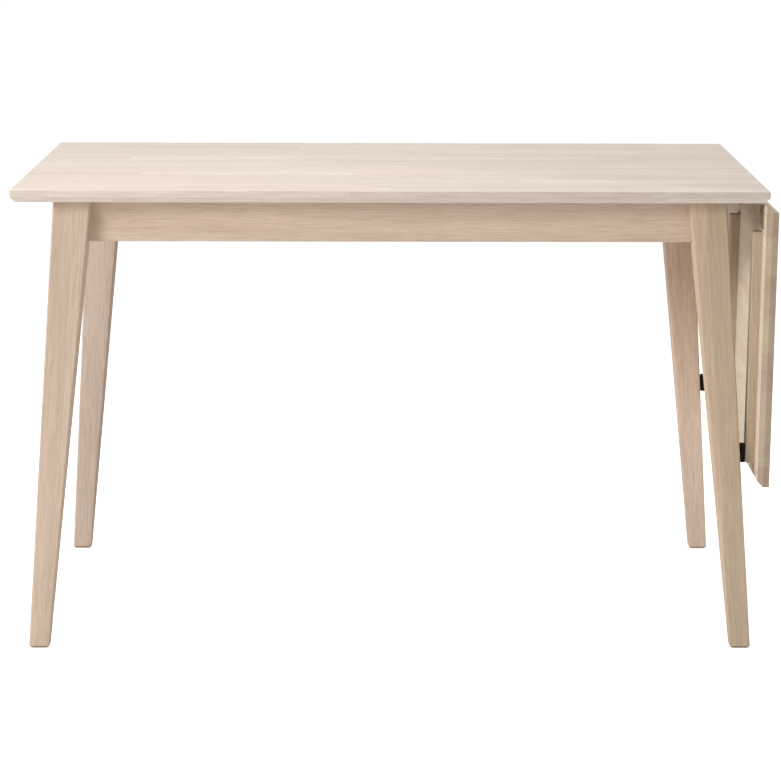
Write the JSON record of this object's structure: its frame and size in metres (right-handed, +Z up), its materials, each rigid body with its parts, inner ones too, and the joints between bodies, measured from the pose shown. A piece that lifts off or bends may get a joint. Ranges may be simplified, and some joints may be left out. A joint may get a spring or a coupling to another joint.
{
  "type": "extending dining table",
  "caption": "Oak dining table with a bevelled rectangular top, splayed tapered legs, aprons, pull-out supports and a battened leaf hinged at one end that hangs down.",
  "frame": {"origin": "centre of the bounding box on the floor, with the leaf hanging down", "axes": "+X along the table towards the hanging leaf, +Y to the back, +Z up"},
  "size_m": [1.214, 0.8, 0.745],
  "materials": {
    "top_oak": "white-pigmented oiled oak, satin",
    "frame_oak": "oiled oak, satin",
    "hinge_steel": "nickel-plated steel, satin",
    "zinc_steel": "zinc-plated steel",
    "bumper_rubber": "black, matt",
    "glide_plastic": "black, matt"
  },
  "bodies": {
    "table": {"table_top": "top_oak", "apron_front": "frame_oak", "apron_rear": "frame_oak", "apron_left": "frame_oak", "apron_right": "frame_oak", "cross_rail": "frame_oak", "leg_front_left": "frame_oak", "leg_front_right": "frame_oak", "leg_rear_left": "frame_oak", "leg_rear_right": "frame_oak", "glide_front_left": "glide_plastic", "glide_front_right": "glide_plastic", "glide_rear_left": "glide_plastic", "glide_rear_right": "glide_plastic", "corner_plate_front_left": "zinc_steel", "corner_plate_front_right": "zinc_steel", "corner_plate_rear_left": "zinc_steel", "corner_plate_rear_right": "zinc_steel", "leg_bolts": "zinc_steel", "leg_washers": "zinc_steel", "leg_nuts": "zinc_steel", "top_brackets": "zinc_steel", "frame_screws": "zinc_steel", "fixed_plate_front": "hinge_steel", "fixed_plate_middle": "hinge_steel", "fixed_plate_rear": "hinge_steel", "hinge_pin_front": "hinge_steel", "hinge_pin_middle": "hinge_steel", "hinge_pin_rear": "hinge_steel", "top_hinge_screws": "hinge_steel"},
    "leaf": {"leaf_panel": "top_oak", "swing_plate_front": "hinge_steel", "swing_plate_middle": "hinge_steel", "swing_plate_rear": "hinge_steel", "leaf_hinge_screws": "hinge_steel", "batten_front": "frame_oak", "batten_middle": "frame_oak", "batten_rear": "frame_oak", "batten_screws": "hinge_steel", "bumper_front": "bumper_rubber", "bumper_rear": "bumper_rubber"},
    "front_loper": {"loper_front": "frame_oak", "stop_pin_front": "frame_oak"},
    "rear_loper": {"loper_rear": "frame_oak", "stop_pin_rear": "frame_oak"}
  },
  "joints": [
    {"name": "leaf_hinge", "type": "hinge", "parent": "table", "child": "leaf", "pos_m": [0.58468, 0, 0.7225], "axis": [0, -1, 0], "range_deg": [0, 90.9]},
    {"name": "front_loper_slide", "type": "slide", "parent": "table", "child": "front_loper", "axis": [1, 0, 0], "range_m": [0, 0.07]},
    {"name": "rear_loper_slide", "type": "slide", "parent": "table", "child": "rear_loper", "axis": [1, 0, 0], "range_m": [0, 0.07]}
  ]
}
